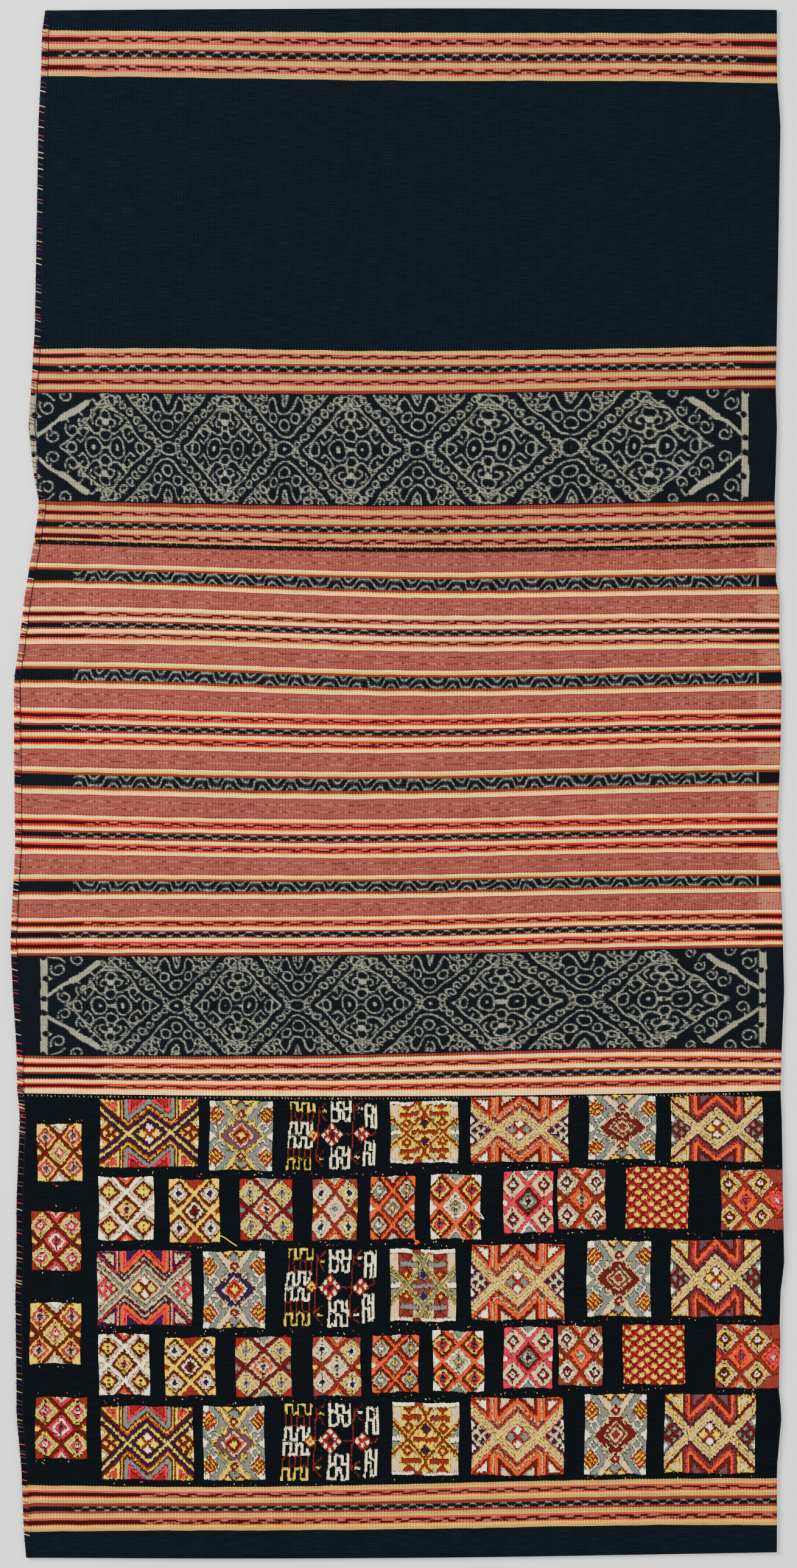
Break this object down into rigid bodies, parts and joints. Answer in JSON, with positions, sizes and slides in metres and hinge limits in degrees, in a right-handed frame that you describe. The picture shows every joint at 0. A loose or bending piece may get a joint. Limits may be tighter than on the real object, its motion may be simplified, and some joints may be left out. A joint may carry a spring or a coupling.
{
  "type": "tubular skirt cloth",
  "caption": "Woman's tubular skirt of warp-striped cotton panels with ikat bands and woven patches, laid flat and closed by a side seam.",
  "frame": {"origin": "middle of the flat cloth, on the underside of its back layer", "axes": "+X to the folded edge, +Y to the waist edge, +Z out of the front"},
  "size_m": [0.636, 1.2736, 0.0054],
  "materials": {
    "indigo_cotton": "matte warp-faced handspun cotton, plain indigo with pink, cream and ikat bands",
    "striped_cotton": "matte warp-faced cotton, speckled pink with cream, red and dark stripes",
    "patched_cotton": "matte near-black cotton with raised patches of coloured weft",
    "weft_yarn": "soft coloured yarn of the patches, slightly lustrous",
    "sewing_thread": "twisted cotton thread, purple, pink and undyed"
  },
  "bodies": {
    "root": {"panel_waist": "indigo_cotton", "panel_middle": "striped_cotton", "panel_hem": "patched_cotton"}
  },
  "joints": []
}
